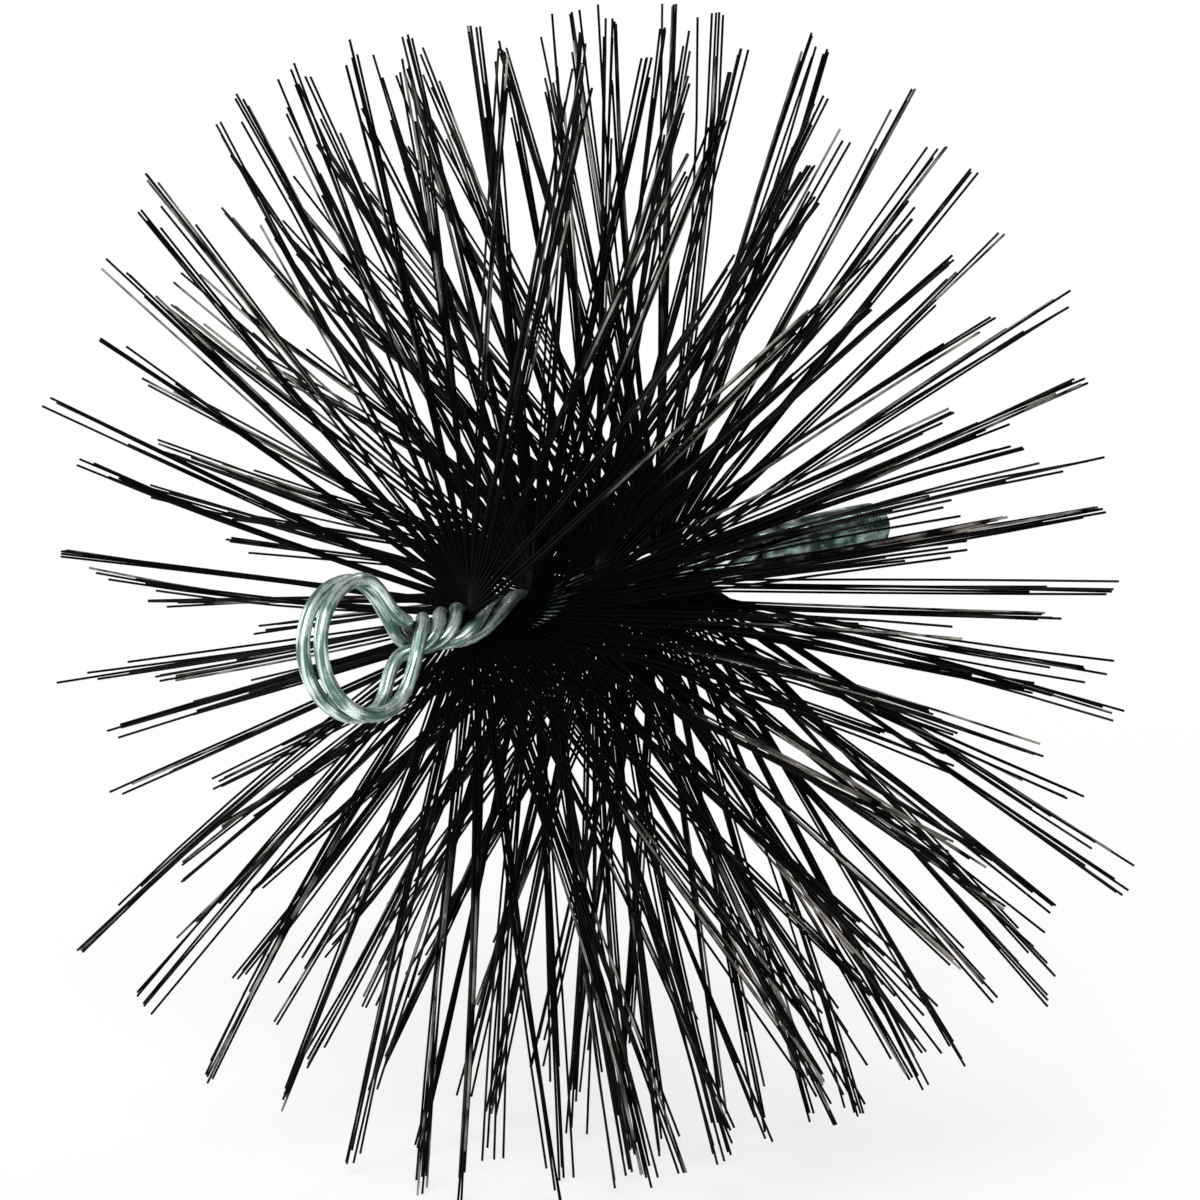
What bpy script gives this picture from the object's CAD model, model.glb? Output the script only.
# %% [markdown]
# # A chimney sweep brush
#
# A sweep's brush is three things. Two galvanised wires are doubled back on themselves and twisted into a
# stem, and their two bends make the pull eye. Some hundreds of black spring wires lie between the two wires,
# which grip their middles as they are twisted. A turned fitting with a pipe thread is crimped on the far
# end, and screws into the sweep's rods.
#
# The frame gives the real sizes and places. The stem lies level along Y, the eye at -Y and the thread at
# +Y, and Z is up. Everything is in metres.

# %% Load the frame
import math

import bpy
import numpy as np
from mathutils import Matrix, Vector
from mathutils.geometry import interpolate_bezier


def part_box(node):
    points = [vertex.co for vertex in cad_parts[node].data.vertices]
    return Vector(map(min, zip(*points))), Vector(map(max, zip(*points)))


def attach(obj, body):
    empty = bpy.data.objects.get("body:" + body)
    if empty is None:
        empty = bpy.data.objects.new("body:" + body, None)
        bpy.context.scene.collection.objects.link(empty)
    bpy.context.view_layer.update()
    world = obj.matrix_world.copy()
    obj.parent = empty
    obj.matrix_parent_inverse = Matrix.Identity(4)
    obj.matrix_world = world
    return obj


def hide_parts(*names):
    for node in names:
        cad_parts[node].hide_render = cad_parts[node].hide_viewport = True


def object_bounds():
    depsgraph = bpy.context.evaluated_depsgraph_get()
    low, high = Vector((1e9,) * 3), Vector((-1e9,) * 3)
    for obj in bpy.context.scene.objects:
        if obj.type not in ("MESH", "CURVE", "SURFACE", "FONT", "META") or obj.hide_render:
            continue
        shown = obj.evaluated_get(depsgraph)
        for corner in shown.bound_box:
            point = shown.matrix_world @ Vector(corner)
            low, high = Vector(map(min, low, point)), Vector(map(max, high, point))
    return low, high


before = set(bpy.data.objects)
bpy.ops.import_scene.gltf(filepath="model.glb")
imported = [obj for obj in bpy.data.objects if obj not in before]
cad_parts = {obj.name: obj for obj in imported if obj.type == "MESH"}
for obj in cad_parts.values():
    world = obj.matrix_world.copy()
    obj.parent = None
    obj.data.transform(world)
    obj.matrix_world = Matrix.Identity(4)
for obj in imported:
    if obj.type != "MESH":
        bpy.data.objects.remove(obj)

frame_low, frame_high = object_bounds()
fitting_low, fitting_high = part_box("thread_fitting")
BRISTLE_ROWS = sorted(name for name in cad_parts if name.startswith("bristle_row_"))
print("frame box:", [round(side, 4) for side in frame_high - frame_low], "rows:", len(BRISTLE_ROWS))

# %% [markdown]
# ## Places along the stem
#
# The frame can say where the fitting starts and ends, and how high the stem lies. The rest follows from
# there, back along the stem: the bare tail, the bristle head, the loose neck and the eye. Their lengths come
# from the places where strands cross in the photograph, so the eye ends a few millimetres inside the frame.

# %% Places along the stem
HEAD_LENGTH = 0.0954
TAIL_LENGTH = 0.0281
NECK_LENGTH = 0.0185
EYE_HEIGHT = 0.0345
EYE_LENGTH = 0.0375
BORE_DEPTH = 0.038

stem_height = (fitting_low.z + fitting_high.z) / 2
fitting_start, fitting_end = fitting_low.y, fitting_high.y
head_end = fitting_start - TAIL_LENGTH
head_start = head_end - HEAD_LENGTH
neck_place = head_start - NECK_LENGTH
stem_length = fitting_start + BORE_DEPTH - neck_place
print(f"neck {neck_place:.4f}, head {head_start:.4f} to {head_end:.4f}, stem height {stem_height:.4f}")

# %% [markdown]
# ## Small helpers for node trees
#
# Both the shapes and the finishes are node trees built in the script. Short functions keep that readable.
# `add` adds a node and fills its inputs, each with a number or with another node's output. `calc` and
# `vector` do arithmetic. `new_shape_tree` starts a tree with a named input for each size, `finish_tree` ends
# it, and `grow` runs it on a mesh and keeps the result.

# %% Helpers for node trees
SHARP_ANGLE = math.radians(40)


def plug(tree, socket, value):
    """Links an output to a socket, or sets the socket's own value."""
    if isinstance(value, bpy.types.NodeSocket):
        tree.links.new(value, socket)
    else:
        socket.default_value = value


def add(tree, kind, inputs=None, **settings):
    """A new node with its settings, and its inputs by name or number."""
    node = tree.nodes.new(kind)
    for name, value in settings.items():
        setattr(node, name, value)
    for name, value in (inputs or {}).items():
        plug(tree, node.inputs[name], value)
    return node


def calc(tree, operation, *values):
    """Arithmetic on numbers: the result of a Math node."""
    inputs = dict(enumerate(values))
    return add(tree, "ShaderNodeMath", inputs, operation=operation).outputs[0]


def vector(tree, operation, *values):
    """Arithmetic on vectors: the result of a Vector Math node."""
    inputs = dict(enumerate(values))
    return add(tree, "ShaderNodeVectorMath", inputs, operation=operation).outputs[0]


def new_shape_tree(name, sizes):
    """A geometry tree with a geometry input and output, a material, and one named input for each size."""
    tree = bpy.data.node_groups.new(name, "GeometryNodeTree")
    tree.is_modifier = True
    face = tree.interface
    face.new_socket("Geometry", in_out="OUTPUT", socket_type="NodeSocketGeometry")
    face.new_socket("Geometry", in_out="INPUT", socket_type="NodeSocketGeometry")
    for size, kind in sizes.items():
        face.new_socket(size, in_out="INPUT", socket_type=f"NodeSocket{kind}")
    face.new_socket("Material", in_out="INPUT", socket_type="NodeSocketMaterial")
    return tree, add(tree, "NodeGroupInput").outputs


def finish_tree(tree, geometry, material):
    """The end of every shape tree: real faces instead of instances, smooth shading and the finish."""
    real = add(tree, "GeometryNodeRealizeInstances", {"Geometry": geometry})
    finished = add(tree, "GeometryNodeSetMaterial", {"Geometry": real.outputs[0], "Material": material})
    add(tree, "NodeGroupOutput", {"Geometry": finished.outputs[0]})


def grow(name, start_mesh, tree, values):
    """Runs a shape tree on a mesh and keeps the result as a plain mesh object at the origin."""
    host = bpy.data.objects.new(f"{name}_host", start_mesh)
    bpy.context.scene.collection.objects.link(host)
    modifier = host.modifiers.new("shape", "NODES")
    modifier.node_group = tree
    for item in tree.interface.items_tree:
        if item.in_out == "INPUT" and item.name in values:
            modifier[item.identifier] = values[item.name]
    bpy.context.view_layer.update()
    evaluated = host.evaluated_get(bpy.context.evaluated_depsgraph_get())
    mesh = bpy.data.meshes.new_from_object(evaluated)
    bpy.data.objects.remove(host)
    mesh.name = name
    return show(name, mesh)


def show(name, mesh):
    """Puts a finished mesh in the scene, smooth but for its sharp edges."""
    mesh.shade_smooth()
    mesh.set_sharp_from_angle(angle=SHARP_ANGLE)
    piece = bpy.data.objects.new(name, mesh)
    bpy.context.scene.collection.objects.link(piece)
    print(f"{name}: {len(mesh.polygons)} faces")
    return piece


# %% [markdown]
# ## Small helpers for finishes
#
# A finish is a Principled shader whose colour, roughness and relief follow noise. These functions make the
# noise, stretch a value from one range to another, mix two colours or two noises, and plug the results in.
# The ranges are named values beside each finish.

# %% Helpers for finishes
def new_material(name, **surface):
    """A material whose shader has these plain values, with its tree and shader ready for more."""
    material = bpy.data.materials.new(name)
    material.use_nodes = True
    shader = material.node_tree.nodes["Principled BSDF"]
    for socket, value in surface.items():
        shader.inputs[socket.replace("_", " ")].default_value = value
    return material, material.node_tree, shader


def noise(tree, place, scale, detail=3.0):
    """Plain noise between 0 and 1 at a place."""
    inputs = {"Vector": place, "Scale": scale, "Detail": detail}
    return add(tree, "ShaderNodeTexNoise", inputs).outputs["Fac"]


def spread(tree, value, low, high, to_low=0.0, to_high=1.0):
    """Stretches a value from one range to another, and holds it there."""
    inputs = {"Value": value, "From Min": low, "From Max": high, "To Min": to_low, "To Max": to_high}
    return add(tree, "ShaderNodeMapRange", inputs).outputs[0]


def blend_colours(tree, share, first, second):
    """A colour between two others."""
    mix = add(tree, "ShaderNodeMix", data_type="RGBA")
    for number, value in ((0, share), (6, first), (7, second)):
        plug(tree, mix.inputs[number], value)
    return mix.outputs[2]


def add_up(tree, share, first, second):
    """Two noises added up, the first with this share and the second with the rest."""
    parts = calc(tree, "MULTIPLY", first, share), calc(tree, "MULTIPLY", second, 1 - share)
    return calc(tree, "ADD", *parts)


def roughen(tree, shader, share, least, most):
    """The surface's roughness, between two values."""
    plug(tree, shader.inputs["Roughness"], spread(tree, share, 0.0, 1.0, least, most))


def raise_bumps(tree, shader, height, strength, distance):
    """Fine relief that only bends the light."""
    bump = add(tree, "ShaderNodeBump", {"Strength": strength, "Distance": distance, "Height": height})
    plug(tree, shader.inputs["Normal"], bump.outputs[0])


# %% [markdown]
# ## Galvanised wire
#
# Zinc on drawn wire is a pale, slightly green grey. It runs in long streaks where the wire was pulled
# through the bath, with darker clouds where it has dulled. The streaks follow the wire, so the stem's
# mesh carries an attribute, `wire_place`: a point's place in the wire's own section, and how far along
# the wire it is. Noise that is stretched along the last one makes streaks with no seam. A second attribute,
# `groove`, says where a strand lies against its neighbour. There the zinc stays black with soot.

# %% Galvanised wire
WIRE_PALE = (0.82, 0.95, 0.90, 1)
WIRE_DULL = (0.11, 0.20, 0.175, 1)
WIRE_SOOT = (0.012, 0.030, 0.026, 1)
WIRE_METAL = 0.8
WIRE_STREAKS = 1400.0
WIRE_STRETCH = (1, 1, 0.06)
WIRE_STREAK_SHARE = 0.55
WIRE_DULL_RANGE = (0.43, 0.55)
WIRE_ROUGHNESS = (0.26, 0.44)
WIRE_RELIEF = (0.25, 0.00008)
ZINC_CLOUDS = 160.0
SOOT_RANGE = (0.35, 1.0)
SOOT_ON_DULL = 0.2


def galvanised_wire():
    """Pale zinc in streaks along the wire, with soot in its grooves."""
    material, tree, shader = new_material("galvanised_wire", Metallic=WIRE_METAL)
    wire_place = add(tree, "ShaderNodeAttribute", attribute_name="wire_place").outputs["Vector"]
    stretched = {"Vector": wire_place, "Scale": WIRE_STRETCH}
    along_wire = add(tree, "ShaderNodeMapping", stretched).outputs[0]
    place = add(tree, "ShaderNodeTexCoord").outputs["Object"]
    streaks = noise(tree, along_wire, WIRE_STREAKS)
    clouds = noise(tree, place, ZINC_CLOUDS)
    dull = spread(tree, add_up(tree, WIRE_STREAK_SHARE, streaks, clouds), *WIRE_DULL_RANGE)
    groove = add(tree, "ShaderNodeAttribute", attribute_name="groove").outputs["Fac"]
    soot = calc(tree, "ADD", groove, calc(tree, "MULTIPLY", dull, SOOT_ON_DULL))
    zinc = blend_colours(tree, dull, WIRE_PALE, WIRE_DULL)
    colour = blend_colours(tree, spread(tree, soot, *SOOT_RANGE), zinc, WIRE_SOOT)
    plug(tree, shader.inputs["Base Color"], colour)
    roughen(tree, shader, dull, *WIRE_ROUGHNESS)
    raise_bumps(tree, shader, streaks, *WIRE_RELIEF)
    return material


wire_zinc = galvanised_wire()
print("finish:", wire_zinc.name)

# %% [markdown]
# ## The turned fitting's zinc
#
# The fitting was turned before it was dipped, so under the zinc it keeps the fine rings of the lathe tool.
# They lie one after another along the stem, which is Y. The fitting has dulled more than the wire, to a dark
# bottle green, in clouds and in streaks that run along it.

# %% Zinc on the fitting
FITTING_PALE = (0.30, 0.43, 0.39, 1)
FITTING_DULL = (0.010, 0.026, 0.022, 1)
FITTING_METAL = 0.95
FITTING_STREAKS = 420.0
FITTING_STRETCH = (1, 0.12, 1)
FITTING_STREAK_SHARE = 0.65
FITTING_DETAIL = 5.0
FITTING_DULL_RANGE = (0.40, 0.56)
FITTING_ROUGHNESS = (0.18, 0.34)
FITTING_RELIEF = (0.15, 0.00004)
TOOL_MARK_SPACING = 0.00035
WAVE_LENGTH = 0.314  # of the Wave Texture itself, at a scale of 1
RING_WAVER = 0.6
RING_DETAIL = 1.0


def galvanised_fitting():
    """Dull green zinc over the rings of the lathe tool."""
    material, tree, shader = new_material("galvanised_fitting", Metallic=FITTING_METAL)
    place = add(tree, "ShaderNodeTexCoord").outputs["Object"]
    along = add(tree, "ShaderNodeMapping", {"Vector": place, "Scale": FITTING_STRETCH}).outputs[0]
    streaks = noise(tree, along, FITTING_STREAKS, FITTING_DETAIL)
    clouds = noise(tree, place, ZINC_CLOUDS, FITTING_DETAIL)
    dull = spread(tree, add_up(tree, FITTING_STREAK_SHARE, streaks, clouds), *FITTING_DULL_RANGE)
    plug(tree, shader.inputs["Base Color"], blend_colours(tree, dull, FITTING_PALE, FITTING_DULL))
    roughen(tree, shader, dull, *FITTING_ROUGHNESS)
    waves = {"Vector": place, "Scale": WAVE_LENGTH / TOOL_MARK_SPACING}
    waves.update({"Distortion": RING_WAVER, "Detail": RING_DETAIL})
    rings = add(tree, "ShaderNodeTexWave", waves, bands_direction="Y").outputs["Fac"]
    raise_bumps(tree, shader, rings, *FITTING_RELIEF)
    return material


fitting_zinc = galvanised_fitting()
print("finish:", fitting_zinc.name)

# %% [markdown]
# ## Oil tempered spring wire
#
# Bristle wire is quenched in oil, which leaves it black. The flue's wall rubs it, from 60 mm off the stem
# outwards, so the black comes and goes there in short lengths, which show a warm brown. No two wires are
# quite alike: each has its own tone, an attribute that the bristle tree gives it. The higher it is, the more
# the wire is worn, and a few with the highest tones are rubbed down to bare steel.

# %% Oil tempered wire
BRISTLE_BLACK = (0.0006, 0.0006, 0.0006, 1)
BRISTLE_WORN = (0.045, 0.041, 0.035, 1)
BRISTLE_BARE = (0.34, 0.31, 0.275, 1)
BRISTLE_SHINE = 0.03
BRISTLE_ROUGHNESS = (0.50, 0.36)
RUBBED_RANGE = (0.06, 0.10)
PATCHES = 90.0
PATCH_RANGE = (0.40, 0.65)
WORN_POWER = 3.0
BARE_RANGE = (0.84, 0.90)


def tempered_wire():
    """Black wire that is rubbed in patches far from the stem."""
    material, tree, shader = new_material("tempered_bristle_wire", Specular_IOR_Level=BRISTLE_SHINE)
    tone = add(tree, "ShaderNodeAttribute", attribute_name="tone").outputs["Fac"]
    place = add(tree, "ShaderNodeTexCoord").outputs["Object"]
    from_stem = vector(tree, "SUBTRACT", place, (0.0, 0.0, stem_height))
    square = vector(tree, "MULTIPLY", from_stem, (1.0, 0.0, 1.0))
    radius = add(tree, "ShaderNodeVectorMath", {0: square}, operation="LENGTH").outputs["Value"]
    patches = spread(tree, noise(tree, place, PATCHES), *PATCH_RANGE)
    rubbed = calc(tree, "MULTIPLY", patches, spread(tree, radius, *RUBBED_RANGE))
    worn = calc(tree, "MULTIPLY", rubbed, calc(tree, "POWER", tone, WORN_POWER))
    bare = calc(tree, "MULTIPLY", rubbed, spread(tree, tone, *BARE_RANGE))
    black = blend_colours(tree, worn, BRISTLE_BLACK, BRISTLE_WORN)
    plug(tree, shader.inputs["Base Color"], blend_colours(tree, bare, black, BRISTLE_BARE))
    roughen(tree, shader, worn, *BRISTLE_ROUGHNESS)
    return material


spring_steel = tempered_wire()
print("finish:", spring_steel.name)

# %% [markdown]
# ## The lay of the stem
#
# In a twisted stem each strand is a helix. The brush has four strands, because each of its two wires is
# doubled, and the bristles lie between one wire's two strands and the other's. All of it turns together,
# once in every 53 mm. At the neck, behind the eye, the lay is tighter and the strands have not closed up
# yet. `lay_angle` gives the angle that the lay has reached at a place, and `strand_point` the middle of one
# strand there.

# %% The lay of the stem
STRAND_THICKNESS = 0.00365
STRAND_SPACING = 0.0038
STRAND_POINTS = 150
PACKED_DEPTH = 0.0020
BRISTLE_ROOM = 0.0002
TWIST_PITCH = 0.053
NECK_PITCH = 0.024
NECK_SLACK = 0.0006
NECK_EASE = 0.034
HEAD_EASE = 0.009
EYE_TURN = math.radians(12)

lay_slope = math.atan(math.tau * STRAND_SPACING / math.sqrt(2) / TWIST_PITCH)
stem_offset = STRAND_SPACING / 2 / math.cos(lay_slope)
neck_radius = (stem_offset + NECK_SLACK) * math.sqrt(2)
head_offset = (PACKED_DEPTH + STRAND_SPACING) / 2 + BRISTLE_ROOM


def eased(share):
    """0 before 0, 1 after 1, and a smooth step between."""
    share = min(max(share, 0), 1)
    return share * share * (3 - 2 * share)


def lay_angle(place):
    """How far the strands have turned at a place along the stem: fast in the neck, then evenly."""
    share = min(place / NECK_EASE, 1)
    tight_length = NECK_EASE * share * (1 - share * share * (1 - share / 2))
    turns = place / TWIST_PITCH + tight_length * (1 / NECK_PITCH - 1 / TWIST_PITCH)
    return math.pi / 4 + math.tau * turns


def placed(across, along, up):
    """A point given across the eye, along the stem from the neck, and up the eye from the middle line."""
    turned_across = across * math.cos(EYE_TURN) - up * math.sin(EYE_TURN)
    turned_up = across * math.sin(EYE_TURN) + up * math.cos(EYE_TURN)
    return Vector((turned_across, along + neck_place, turned_up + stem_height))


def strand_point(place, upper, outer):
    """The middle of one of the four strands: upper and outer are 1 or -1."""
    inside = min(place - NECK_LENGTH, NECK_LENGTH + HEAD_LENGTH - place)
    parted = eased((inside + HEAD_EASE) / HEAD_EASE) * (head_offset - stem_offset)
    offset = stem_offset + NECK_SLACK * (1 - eased(place / NECK_EASE))
    across, up = outer * (offset + parted), upper * offset
    angle = lay_angle(place)
    turned_across = across * math.cos(angle) - up * math.sin(angle)
    return placed(turned_across, place, across * math.sin(angle) + up * math.cos(angle))


print("turns in the stem:", round((lay_angle(stem_length) - lay_angle(0)) / math.tau, 2))

# %% [markdown]
# ## The pull eye
#
# The eye is the two wires' own bends, side by side. Seen from the side each leg rises off the neck and
# comes round in an oval, which two Bezier arcs draw. The legs must not run through each other where they
# meet the neck: two of them cross side by side, and the other two pass above and below.

# %% The pull eye
EYE_TOP_SHARE = 0.5
EYE_HANDLE_SHARE = 0.6
ARC_SHARE = 0.5523
CROSSING_ANGLE = math.radians(60)
PASSING_ANGLE = math.radians(8)
EYE_EASE = 0.016
EYE_STEPS = 26
EYE_OFFSET = 0.0030


def eye_outline(start, leaving_angle):
    """Half of the eye, from the neck to its far end: how far it is along, and how high."""
    half = EYE_HEIGHT / 2
    top = EYE_LENGTH * EYE_TOP_SHARE
    lead = half * EYE_HANDLE_SHARE
    lead_end = Vector((-lead * math.cos(leaving_angle), start + lead * math.sin(leaving_angle), 0))
    crown = Vector((-top, half, 0))
    crown_before = Vector((top * (ARC_SHARE - 1), half, 0))
    crown_after = Vector((-top - (EYE_LENGTH - top) * ARC_SHARE, half, 0))
    far_handle = Vector((-EYE_LENGTH, half * ARC_SHARE, 0))
    rising = interpolate_bezier(Vector((0, start, 0)), lead_end, crown_before, crown, EYE_STEPS)
    falling = interpolate_bezier(crown, crown_after, far_handle, Vector((-EYE_LENGTH, 0, 0)), EYE_STEPS)
    return [(point.x, point.y) for point in rising + falling[1:]]


def apart(along):
    """Half the distance between the two wires, which spring apart towards the eye's far end."""
    return stem_offset + (EYE_OFFSET - stem_offset) * eased(-along / EYE_LENGTH)


def eye_leg(upper, outer):
    """One leg of the eye, from the neck to its far end."""
    crossing = upper != outer
    outline = eye_outline(0, CROSSING_ANGLE) if crossing else eye_outline(neck_radius, PASSING_ANGLE)
    reach = 2 * stem_offset * NECK_PITCH / (math.tau * neck_radius)
    points = []
    for along, height in outline:
        if crossing:
            near = 1 - eased(-along / EYE_EASE)
            across = apart(along) + near * (neck_radius - apart(along))
        else:
            near = 1 - min(-along / reach, 1)
            across = apart(along) * (1 - near * near)
        points.append(placed(outer * across, along, upper * height))
    return points


def wire_path(outer):
    """One whole wire: in along the upper strand, round the eye, and back along the lower strand."""
    stations = np.linspace(0, stem_length, STRAND_POINTS)[1:]
    upper_strand = [strand_point(place, 1, outer) for place in reversed(stations)]
    lower_strand = [strand_point(place, -1, outer) for place in stations]
    return upper_strand + eye_leg(1, outer) + eye_leg(-1, outer)[-2::-1] + lower_strand


left_path, right_path = wire_path(-1), wire_path(1)
print("one wire is", round(sum((b - a).length for a, b in zip(left_path, left_path[1:])) * 1000), "mm long")

# %% [markdown]
# ## A wire from a path
#
# A tree turns a path into a wire: Mesh to Curve, then Curve to Mesh with a circle. On the way it keeps the
# circle's own points and the length run so far, and stores them as `wire_place` for the zinc's streaks.

# %% A wire from a path
STRAND_SIDES = 16


def wire_tree():
    """The tree that sweeps a round section along a path and remembers each point's place on the wire."""
    tree, given = new_shape_tree("wire_from_path", {"Thickness": "Float", "Sides": "Int"})
    path = add(tree, "GeometryNodeMeshToCurve", {"Mesh": given["Geometry"]}).outputs[0]
    length = add(tree, "GeometryNodeSplineParameter").outputs["Length"]
    stored = {"Geometry": path, "Name": "run", "Value": length}
    path = add(tree, "GeometryNodeStoreNamedAttribute", stored).outputs[0]
    radius = calc(tree, "MULTIPLY", given["Thickness"], 0.5)
    round_sizes = {"Resolution": given["Sides"], "Radius": radius}
    circle = add(tree, "GeometryNodeCurvePrimitiveCircle", round_sizes).outputs["Curve"]
    section = add(tree, "GeometryNodeStoreNamedAttribute", data_type="FLOAT_VECTOR")
    plug(tree, section.inputs["Geometry"], circle)
    plug(tree, section.inputs["Name"], "section")
    plug(tree, section.inputs["Value"], add(tree, "GeometryNodeInputPosition").outputs[0])
    sweep = {"Curve": path, "Profile Curve": section.outputs[0], "Fill Caps": True}
    swept = add(tree, "GeometryNodeCurveToMesh", sweep).outputs[0]
    run = add(tree, "GeometryNodeInputNamedAttribute", {"Name": "run"}).outputs["Attribute"]
    across = add(tree, "GeometryNodeInputNamedAttribute", {"Name": "section"}, data_type="FLOAT_VECTOR")
    along = add(tree, "ShaderNodeCombineXYZ", {"Z": run}).outputs[0]
    place = add(tree, "GeometryNodeStoreNamedAttribute", data_type="FLOAT_VECTOR")
    plug(tree, place.inputs["Geometry"], swept)
    plug(tree, place.inputs["Name"], "wire_place")
    plug(tree, place.inputs["Value"], vector(tree, "ADD", across.outputs["Attribute"], along))
    finish_tree(tree, place.outputs[0], given["Material"])
    return tree


def path_mesh(name, points):
    """A mesh with only a line of edges through these points."""
    mesh = bpy.data.meshes.new(name)
    mesh.from_pydata(points, [(i, i + 1) for i in range(len(points) - 1)], [])
    return mesh


strand_sizes = {"Thickness": STRAND_THICKNESS, "Sides": STRAND_SIDES, "Material": wire_zinc}
stem_wires = {}
wire_shape = wire_tree()
for side_name, path in (("left", left_path), ("right", right_path)):
    start_mesh = path_mesh(f"{side_name}_path", path)
    stem_wires[side_name] = grow(f"twisted_wire_{side_name}", start_mesh, wire_shape, strand_sizes)

# %% [markdown]
# ## Grooves between the strands
#
# Where two strands lie against each other the zinc never gets rubbed, and stays dark with soot. So each
# point of the wires is told how near the next strand is: `groove` is 1 where they touch and 0 from 3 mm
# away. The wire's own run, 12 mm to both sides of a point, doesn't count.

# %% Grooves between the strands
GROOVE_REACH = 0.003
OWN_RUN = 0.012


def run_lengths(points):
    """How far along its path each of these points lies."""
    steps = np.linalg.norm(np.diff(points, axis=0), axis=1)
    return np.concatenate([[0], np.cumsum(steps)])


def mark_grooves(piece, own_path, other_path):
    """Stores how deep in a groove each point of a wire lies."""
    own, other = np.array(own_path), np.array(other_path)
    runs = run_lengths(own)
    coords = np.array([vertex.co for vertex in piece.data.vertices])
    to_own = np.linalg.norm(coords[:, None] - own[None], axis=2)
    to_other = np.linalg.norm(coords[:, None] - other[None], axis=2).min(axis=1)
    run_here = runs[to_own.argmin(axis=1)]
    same_run = np.abs(runs[None] - run_here[:, None]) < OWN_RUN
    to_leg = np.where(same_run, np.inf, to_own).min(axis=1)
    nearest = np.minimum(to_leg, to_other) - STRAND_THICKNESS / 2
    groove = piece.data.attributes.new("groove", "FLOAT", "POINT")
    groove.data.foreach_set("value", np.clip(1 - nearest / GROOVE_REACH, 0, 1).astype(np.float32))
    print(f"{piece.name}: {np.mean(nearest < GROOVE_REACH):.0%} of the points lie near a groove")


mark_grooves(stem_wires["left"], left_path, right_path)
mark_grooves(stem_wires["right"], right_path, left_path)

# %% [markdown]
# ## The bristles
#
# Each bristle wire lies across the stem, between the two stem wires, and shows two ends. The lay turns the
# wires like the steps of a spiral stair. They do not stay evenly spread, though: they gather in tufts,
# whose wires start apart, come together, and lie side by side to ends of unlike length. So the tree makes
# one straight line of points for each wire and bends it by a formula. The distance from the stem and the
# turn of the lay give its direction. Each tuft's end strays along the stem and across, and each wire strays
# a little from its tuft. The tips lean towards the fitting by a few millimetres, and the tufts near the
# head's two ends flare outwards. All of that grows with the distance from the stem, so that the roots stay
# where the stem grips them.
#
# Three powers shape the wires: their points lie closer together near the stem, they gather in their tufts
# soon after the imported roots, and few ends are much shorter than the longest. Each random draw adds its own
# number to the seed.

# %% The bristle tree
BRISTLE_SIZES = {
    "Wires": "Int", "Wires per Tuft": "Int", "Points per Wire": "Int", "Thickness": "Float", "Sides": "Int",
    "Neck Place": "Float", "Neck Length": "Float", "Head Length": "Float", "Stem Height": "Float",
    "Start Angle": "Float", "Twist Pitch": "Float", "Neck Pitch": "Float", "Neck Ease": "Float",
    "Reach": "Float", "Shortest Share": "Float", "Packed Radius": "Float", "Tuft Spread": "Float",
    "Tuft Sideways": "Float", "Wire Spread": "Float", "Bow": "Float", "Tip Lean": "Float", "Flare": "Float",
    "Lowest Corner": "Vector", "Highest Corner": "Vector", "Seed": "Int",
}
SPREAD_STEPS = (0.618, 0.755)
SIDEWAYS_STEPS = (0.570, 0.819)
POINTS_POWER = 1.5
GATHER_POWER = 0.2
LENGTH_POWER = 2.6
LAYER_WIRES = 3.0
MIDDLE_LAYER = 1.0
MIDDLE_BESIDE = 0.5
DRAWS = {"length": 10, "along": 30, "across": 50, "bow along": 60, "bow across": 70, "tone": 80}


def chance(tree, which, seed, draw, low=0.0):
    """A random number up to 1 for each wire or tuft."""
    own_seed = calc(tree, "ADD", seed, DRAWS[draw])
    node = add(tree, "FunctionNodeRandomValue", data_type="FLOAT")
    for number, value in ((2, low), (3, 1.0), (7, which), (8, own_seed)):
        plug(tree, node.inputs[number], value)
    return node.outputs[1]


def wander(tree, which, seed, draw, reach):
    """A random number about zero, small ones much oftener than large ones."""
    number = chance(tree, which, seed, draw, -1.0)
    cube = calc(tree, "MULTIPLY", number, calc(tree, "MULTIPLY", number, number))
    return calc(tree, "MULTIPLY", cube, reach)


def stray(tree, number, steps, reach):
    """Which way a tuft's end strays: two uneven steps added up, so that neighbours differ."""
    parts = [calc(tree, "FRACT", calc(tree, "MULTIPLY", number, step)) for step in steps]
    return calc(tree, "MULTIPLY", calc(tree, "SUBTRACT", calc(tree, "ADD", *parts), 1.0), reach)


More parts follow.
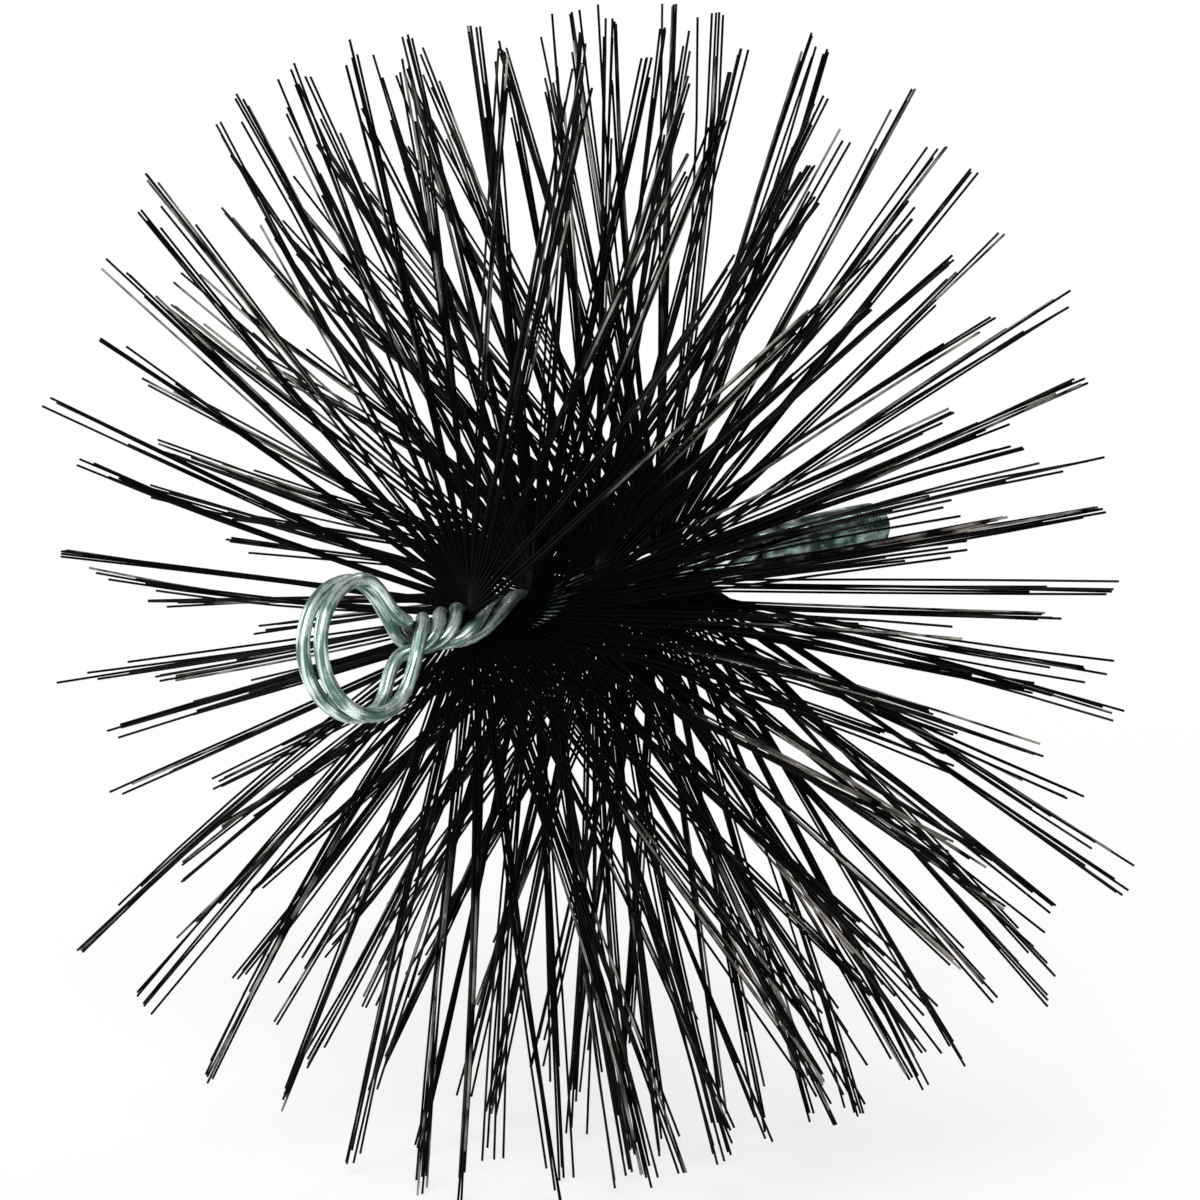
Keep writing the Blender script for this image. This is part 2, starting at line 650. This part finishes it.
def bristle_tree():
    """The tree that lays every bristle wire between the stem wires and sends its ends out in tufts."""
    tree, given = new_shape_tree("bristle_head", BRISTLE_SIZES)

    def times(first, second):
        return calc(tree, "MULTIPLY", first, second)

    def plus(first, second):
        return calc(tree, "ADD", first, second)

    def minus(first, second):
        return calc(tree, "SUBTRACT", first, second)

    def over(first, second):
        return calc(tree, "DIVIDE", first, second)

    def power(value, exponent):
        return calc(tree, "POWER", value, exponent)

    def between(share, first, second):
        return plus(first, times(share, minus(second, first)))

    # One line of points for each wire
    line = add(tree, "GeometryNodeCurvePrimitiveLine").outputs[0]
    resampled = {"Curve": line, "Count": given["Points per Wire"]}
    line = add(tree, "GeometryNodeResampleCurve", resampled, mode="COUNT").outputs[0]
    seats = add(tree, "GeometryNodePoints", {"Count": given["Wires"]}).outputs[0]
    lines = add(tree, "GeometryNodeInstanceOnPoints", {"Points": seats, "Instance": line}).outputs[0]
    lines = add(tree, "GeometryNodeRealizeInstances", {"Geometry": lines}).outputs[0]

    # Which wire, which tuft, which wire of the tuft and which of its two ends this is, and how far out
    wire = add(tree, "GeometryNodeCurveOfPoint").outputs["Curve Index"]
    factor = add(tree, "GeometryNodeSplineParameter").outputs["Factor"]
    signed = calc(tree, "MULTIPLY_ADD", factor, 2.0, -1.0)
    side = calc(tree, "SIGN", signed)
    out = calc(tree, "ABSOLUTE", signed)
    upper = calc(tree, "GREATER_THAN", factor, 0.5)
    tuft = calc(tree, "FLOOR", over(plus(wire, 0.5), given["Wires per Tuft"]))
    rank = minus(wire, times(tuft, given["Wires per Tuft"]))
    wire_end = plus(times(wire, 2.0), upper)
    tuft_end = plus(times(tuft, 2.0), upper)
    seed = given["Seed"]

    # How long this end is, how far out the point is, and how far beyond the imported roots
    shortness = power(chance(tree, wire_end, seed, "length"), LENGTH_POWER)
    length = times(given["Reach"], between(shortness, 1.0, given["Shortest Share"]))
    distance = times(power(out, POINTS_POWER), length)
    loose = minus(given["Reach"], given["Packed Radius"])
    beyond = calc(tree, "MAXIMUM", over(minus(distance, given["Packed Radius"]), loose), 0.0)

    # Where the wire is gripped, and where its tuft gathers
    share = over(plus(wire, 0.5), given["Wires"])
    tuft_share = over(times(plus(tuft, 0.5), given["Wires per Tuft"]), given["Wires"])
    gathered = between(power(beyond, GATHER_POWER), share, tuft_share)
    place = plus(given["Neck Length"], times(gathered, given["Head Length"]))

    # The lay's angle there: fast in the neck, then evenly
    neck_share = calc(tree, "MINIMUM", over(place, given["Neck Ease"]), 1.0)
    easing = times(times(neck_share, neck_share), minus(1.0, times(neck_share, 0.5)))
    tight_length = times(times(given["Neck Ease"], neck_share), minus(1.0, easing))
    tighter = minus(over(1.0, given["Neck Pitch"]), over(1.0, given["Twist Pitch"]))
    turns = plus(over(place, given["Twist Pitch"]), times(tight_length, tighter))
    angle = plus(given["Start Angle"], times(turns, math.tau))

    # How far the tips stray: the tuft's own stray, each wire's, and along the stem the lean and the flare
    tuft_along = stray(tree, tuft_end, SPREAD_STEPS, given["Tuft Spread"])
    tuft_across = stray(tree, tuft_end, SIDEWAYS_STEPS, given["Tuft Sideways"])
    wire_along = wander(tree, wire_end, seed, "along", given["Wire Spread"])
    wire_across = wander(tree, wire_end, seed, "across", given["Wire Spread"])
    from_middle = calc(tree, "MULTIPLY_ADD", tuft_share, 2.0, -1.0)
    leaning = plus(given["Tip Lean"], times(from_middle, given["Flare"]))
    stray_along = plus(plus(tuft_along, wire_along), leaning)
    stray_across = plus(tuft_across, wire_across)

    # How a tuft bows: a parabola that is 0 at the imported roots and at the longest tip, and -1 half way
    bow = times(times(beyond, minus(beyond, 1.0)), 4.0)
    bow_along = times(bow, wander(tree, tuft_end, seed, "bow along", given["Bow"]))
    bow_across = times(bow, wander(tree, tuft_end, seed, "bow across", given["Bow"]))

    # A tuft's six wires lie three deep and two wide about its middle
    layer = times(minus(MIDDLE_LAYER, calc(tree, "MODULO", rank, LAYER_WIRES)), given["Thickness"])
    pile = calc(tree, "FLOOR", over(rank, LAYER_WIRES))
    beside = times(minus(pile, MIDDLE_BESIDE), given["Thickness"])
    shift_along = plus(plus(times(beyond, stray_along), bow_along), times(beside, out))
    shift_across = plus(plus(times(beyond, stray_across), bow_across), layer)

    # The point itself: out along the lay's angle, shifted square to it
    cosine, sine = calc(tree, "COSINE", angle), calc(tree, "SINE", angle)
    radial = times(side, distance)
    across = minus(times(radial, cosine), times(shift_across, sine))
    up = plus(plus(times(radial, sine), times(shift_across, cosine)), given["Stem Height"])
    length_place = plus(plus(given["Neck Place"], place), shift_along)
    point = add(tree, "ShaderNodeCombineXYZ", {"X": across, "Y": length_place, "Z": up}).outputs[0]
    point = vector(tree, "MAXIMUM", point, given["Lowest Corner"])
    point = vector(tree, "MINIMUM", point, given["Highest Corner"])
    bent = add(tree, "GeometryNodeSetPosition", {"Geometry": lines, "Position": point}).outputs[0]

    # Each wire's own tone, and its round section
    stored = {"Geometry": bent, "Name": "tone", "Value": chance(tree, wire, seed, "tone")}
    toned = add(tree, "GeometryNodeStoreNamedAttribute", stored).outputs[0]
    round_sizes = {"Resolution": given["Sides"], "Radius": times(given["Thickness"], 0.5)}
    section = add(tree, "GeometryNodeCurvePrimitiveCircle", round_sizes).outputs["Curve"]
    sweep = {"Curve": toned, "Profile Curve": section, "Fill Caps": True}
    swept = add(tree, "GeometryNodeCurveToMesh", sweep).outputs[0]
    finish_tree(tree, swept, given["Material"])
    return tree


bristle_shape = bristle_tree()
print("bristle tree:", len(bristle_shape.nodes), "nodes")

# %% [markdown]
# ## Growing the head
#
# The head has 540 wires, so 1080 ends, in 90 tufts. Their number came from the photograph: dark and light
# were counted along circles round the hub, and the number, the thickness and the gathering of the wires
# were set until the counts agreed. The lean and the flare came from the outline of the tips. The tips keep
# inside the frame's box, so the lowest ones just touch the ground.

# %% Growing the head
BRISTLE_THICKNESS = 0.00068
HEAD_DIAMETER = 0.3048
corner_room = Vector((1, 1, 1)) * BRISTLE_THICKNESS / 2
bristle_values = {
    "Wires": 540,
    "Wires per Tuft": 6,
    "Points per Wire": 17,
    "Thickness": BRISTLE_THICKNESS,
    "Sides": 5,
    "Neck Place": neck_place,
    "Neck Length": NECK_LENGTH,
    "Head Length": HEAD_LENGTH,
    "Stem Height": stem_height,
    "Start Angle": lay_angle(0) + math.pi / 2 + EYE_TURN,
    "Twist Pitch": TWIST_PITCH,
    "Neck Pitch": NECK_PITCH,
    "Neck Ease": NECK_EASE,
    "Reach": HEAD_DIAMETER / 2,
    "Shortest Share": 0.78,
    "Packed Radius": 0.022,
    "Tuft Spread": 0.012,
    "Tuft Sideways": 0.010,
    "Wire Spread": 0.0035,
    "Bow": 0.003,
    "Tip Lean": 0.003,
    "Flare": 0.012,
    "Lowest Corner": frame_low + corner_room,
    "Highest Corner": frame_high - corner_room,
    "Seed": 11,
    "Material": spring_steel,
}
bristles = grow("bristle_wires", bpy.data.meshes.new("head_start"), bristle_shape, bristle_values)

# %% [markdown]
# ## The threaded fitting
#
# A turned piece is a section swept round its axis, but a thread is not round: its crest climbs along the
# axis as it goes round. So the fitting's wall is a grid of rings, and in the threaded part each point's
# radius depends on where it lies between two crests. The pipe thread is right handed, with 18 turns to
# the inch, and tapers by a sixteenth. Both of its ends fade out, as where a die starts and stops.

# %% Sizes of the fitting
FITTING_DIAMETER = 0.0137
THREAD_PITCH = 0.0014111
THREAD_LENGTH = 0.0141
THREAD_DEPTH = 0.0009
THREAD_TAPER_SHARE = 1 / 32
RINGS_PER_TURN = 8
FITTING_SIDES = 64
CRIMP_PLACES = (0.009, 0.021)
CRIMP_WIDTH = 0.0050
CRIMP_DEPTH = 0.0006
CRIMP_STEPS = 10
CRIMP_ROUNDING = 0.7
THREAD_STOP_TURNS = 1.5
EDGE_BREAK = 0.0006
DRILL_POINT = 0.002
BORE_ROOM = 0.0003
fitting_length = fitting_end - fitting_start
bore_radius = stem_offset * math.sqrt(2) + STRAND_THICKNESS / 2 + BORE_ROOM


def shank_radius(place):
    """The plain part's radius: rounded grooves where the two crimps closed it on the stem."""
    radius = FITTING_DIAMETER / 2
    for middle in CRIMP_PLACES:
        share = min(abs(place - middle) / (CRIMP_WIDTH / 2), 1)
        radius -= CRIMP_DEPTH * math.cos(share * math.pi / 2) ** CRIMP_ROUNDING
    return radius


def thread_radius(place, angle):
    """The threaded part's radius: between the crest and the root, by the place between two crests."""
    from_end = fitting_length - place
    crest = FITTING_DIAMETER / 2 - (THREAD_LENGTH - from_end) * THREAD_TAPER_SHARE
    turns = from_end / THREAD_PITCH - angle / math.tau
    ridge = abs(2 * (turns % 1) - 1)
    start = eased(from_end / THREAD_PITCH)
    stop = eased((THREAD_LENGTH - from_end) / THREAD_PITCH / THREAD_STOP_TURNS)
    groove = THREAD_DEPTH * (1 - ridge) * stop
    return crest - groove - (1 - start) * (THREAD_DEPTH - groove)


def fitting_stations():
    """Where the wall has rings: close together in the thread and the crimps."""
    plain_end = fitting_length - THREAD_LENGTH
    places = [EDGE_BREAK]
    for middle in CRIMP_PLACES:
        places += list(np.linspace(middle - CRIMP_WIDTH / 2, middle + CRIMP_WIDTH / 2, CRIMP_STEPS))
    rings = round(THREAD_LENGTH / THREAD_PITCH * RINGS_PER_TURN)
    return places + list(np.linspace(plain_end, fitting_length, rings + 1))


def wall_radius(place, angle):
    """The outer wall's radius, plain or threaded."""
    threaded = place > fitting_length - THREAD_LENGTH
    return thread_radius(place, angle) if threaded else shank_radius(place)


# %% [markdown]
# ### From sizes to a mesh
#
# The rings run from the bore's end out to the near face, and from there back along the wall to the end
# face. A band of four-sided faces joins each ring to the next. The end face closes one end, and the cone
# that the drill left closes the other. The points of a ring go round from X down, which turns all the faces
# outward.

# %% The fitting's mesh
def build_fitting():
    """The fitting as one closed mesh."""
    angles = [-math.tau * step / FITTING_SIDES for step in range(FITTING_SIDES)]
    stations = fitting_stations()
    rings = [[(bore_radius, 0)] * FITTING_SIDES]
    rings.append([(shank_radius(0) - EDGE_BREAK, 0)] * FITTING_SIDES)
    rings += [[(wall_radius(place, angle), place) for angle in angles] for place in stations]
    bore = [[(bore_radius, BORE_DEPTH)] * FITTING_SIDES]
    vertices = []
    for ring in bore + rings:
        for angle, (radius, place) in zip(angles, ring):
            across, up = radius * math.cos(angle), radius * math.sin(angle)
            vertices.append((across, fitting_start + place, stem_height + up))
    faces = []
    for ring in range(len(bore + rings) - 1):
        for step in range(FITTING_SIDES):
            after = (step + 1) % FITTING_SIDES
            low, high = ring * FITTING_SIDES, (ring + 1) * FITTING_SIDES
            faces.append((low + step, low + after, high + after, high + step))
    last = len(vertices) - FITTING_SIDES
    faces.append(tuple(range(last, last + FITTING_SIDES)))
    tip = len(vertices)
    vertices.append((0, fitting_start + BORE_DEPTH + DRILL_POINT, stem_height))
    faces += [((step + 1) % FITTING_SIDES, step, tip) for step in range(FITTING_SIDES)]
    mesh = bpy.data.meshes.new("pipe_thread_fitting")
    mesh.from_pydata(vertices, [], faces)
    mesh.materials.append(fitting_zinc)
    return show("pipe_thread_fitting", mesh)


fitting = build_fitting()

# %% [markdown]
# ## The floor
#
# The photograph has the brush on plain white. The floor is white, and for the camera and for reflections it
# fades to pure white away from the brush, so that only the brush's soft shadow shows.

# %% Floor
FLOOR_SIZE = 30.0
PAPER = (0.98, 0.98, 0.98, 1)
PAPER_ROUGHNESS = 0.9
WHITE = (1, 1, 1, 1)
SHADOW_REACH = 0.25
SHADOW_FADE = 0.7
LEAST_WHITE = 0.65


def paper_white():
    """White paper that the camera sees as pure white, the more so the farther it lies from the brush."""
    material, tree, shader = new_material("white_floor", Base_Color=PAPER, Roughness=PAPER_ROUGHNESS)
    place = add(tree, "ShaderNodeTexCoord").outputs["Object"]
    distance = add(tree, "ShaderNodeVectorMath", {0: place}, operation="LENGTH").outputs["Value"]
    far = spread(tree, distance, SHADOW_REACH, SHADOW_FADE, LEAST_WHITE, 1.0)
    path = add(tree, "ShaderNodeLightPath").outputs
    seen = calc(tree, "MAXIMUM", path["Is Camera Ray"], path["Is Glossy Ray"])
    seen = calc(tree, "MAXIMUM", seen, path["Is Transmission Ray"])
    white = add(tree, "ShaderNodeEmission", {"Color": WHITE, "Strength": 1.0}).outputs[0]
    mix = add(tree, "ShaderNodeMixShader", {0: calc(tree, "MULTIPLY", far, seen)})
    plug(tree, mix.inputs[1], shader.outputs[0])
    plug(tree, mix.inputs[2], white)
    plug(tree, tree.nodes["Material Output"].inputs["Surface"], mix.outputs[0])
    return material


floor_mesh = bpy.data.meshes.new("floor")
half = FLOOR_SIZE / 2
corners = [(-half, -half, 0), (half, -half, 0), (half, half, 0), (-half, half, 0)]
floor_mesh.from_pydata(corners, [], [(0, 1, 2, 3)])
floor_mesh.materials.append(paper_white())
floor = bpy.data.objects.new("floor", floor_mesh)
bpy.context.scene.collection.objects.link(floor)
print("floor:", FLOOR_SIZE, "m wide")

# %% [markdown]
# ## The room and its lamps
#
# The light is even. The room has white walls all round, which the zinc mirrors, and a dim ceiling, which
# keeps the zinc's upper sides dark. One large lamp above and three smaller ones, at the left, behind and in
# front, give the wires their long highlights. The table gives each lamp's name, place, width and watts.

# %% World and lamps
WALL_TOP = 0.12
CEILING_START = 0.30
CEILING_LEVEL = 0.28
HUB = (0, 0, stem_height)
LAMPS = (
    ("key", (0.9, -1.2, 1.9), 1.2, 32),
    ("side", (-1.6, -0.6, 1.0), 0.9, 12),
    ("back", (0.1, 1.8, 1.5), 1.0, 13),
    ("front", (0.3, -1.9, 0.9), 0.5, 7),
)


def studio_room():
    """White walls all round as high as the camera sees, and a dimmer ceiling over them."""
    world = bpy.data.worlds.new("studio")
    bpy.context.scene.world = world
    world.use_nodes = True
    tree = world.node_tree
    direction = add(tree, "ShaderNodeTexCoord").outputs["Generated"]
    height = add(tree, "ShaderNodeSeparateXYZ", {0: direction}).outputs["Z"]
    background = tree.nodes["Background"]
    background.inputs["Color"].default_value = WHITE
    level = spread(tree, height, WALL_TOP, CEILING_START, 1.0, CEILING_LEVEL)
    plug(tree, background.inputs["Strength"], level)


def add_lamp(name, place, width, watts):
    """A round lamp aimed at the hub."""
    data = bpy.data.lights.new(name, "AREA")
    data.shape = "DISK"
    data.size = width
    data.energy = watts
    lamp = bpy.data.objects.new(name, data)
    bpy.context.scene.collection.objects.link(lamp)
    lamp.location = place
    lamp.rotation_euler = (Vector(HUB) - Vector(place)).to_track_quat("-Z", "Y").to_euler()


studio_room()
for lamp_name, lamp_place, lamp_width, lamp_watts in LAMPS:
    add_lamp(lamp_name, lamp_place, lamp_width, lamp_watts)
print("lamps:", ", ".join(lamp[0] for lamp in LAMPS))

# %% [markdown]
# ## The camera
#
# The camera looks at the brush's near end from the right and a little above, with a long lens from nearly
# two metres, so that the head's near and far rims are almost the same size. Its lens follows from the
# photograph's scale at the hub, and its aim was fitted to the outline of the tips.

# %% Camera
CAMERA_AZIMUTH = math.radians(38.6)
CAMERA_ELEVATION = math.radians(11.1)
CAMERA_DISTANCE = 1.92
PIXELS_PER_METRE = 3801
PHOTO_WIDTH = 1200
SENSOR_WIDTH = 36
AIM_DROP = 0.00245
AIM_ALONG = -0.0003


def add_camera():
    """The camera at the photograph's viewing angle, set as the scene's own."""
    data = bpy.data.cameras.new("camera")
    data.sensor_width = SENSOR_WIDTH
    data.lens = SENSOR_WIDTH * PIXELS_PER_METRE * CAMERA_DISTANCE / PHOTO_WIDTH
    camera = bpy.data.objects.new("camera", data)
    bpy.context.scene.collection.objects.link(camera)
    level = math.cos(CAMERA_ELEVATION)
    back = Vector((
        math.sin(CAMERA_AZIMUTH) * level,
        -math.cos(CAMERA_AZIMUTH) * level,
        math.sin(CAMERA_ELEVATION),
    ))
    aim = Vector((0, AIM_ALONG, stem_height - AIM_DROP))
    camera.location = aim + back * CAMERA_DISTANCE
    camera.rotation_euler = (-back).to_track_quat("-Z", "Y").to_euler()
    bpy.context.scene.camera = camera


add_camera()
bpy.context.scene.view_settings.view_transform = "Standard"
print("camera:", round(bpy.context.scene.camera.data.lens), "mm lens")

# %% [markdown]
# ## Handing the pieces to the frame
#
# The brush has no joints, so every piece rides on the one body, `root`. Each names the frame's nodes that
# it stands for and the finish that it takes from the record.

# %% Handing over
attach(stem_wires["left"], "root")
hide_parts("stem_wire_left")
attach(stem_wires["right"], "root")
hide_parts("stem_wire_right")
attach(bristles, "root")
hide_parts(*BRISTLE_ROWS)
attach(fitting, "root")
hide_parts("thread_fitting")

bpy.context.view_layer.update()
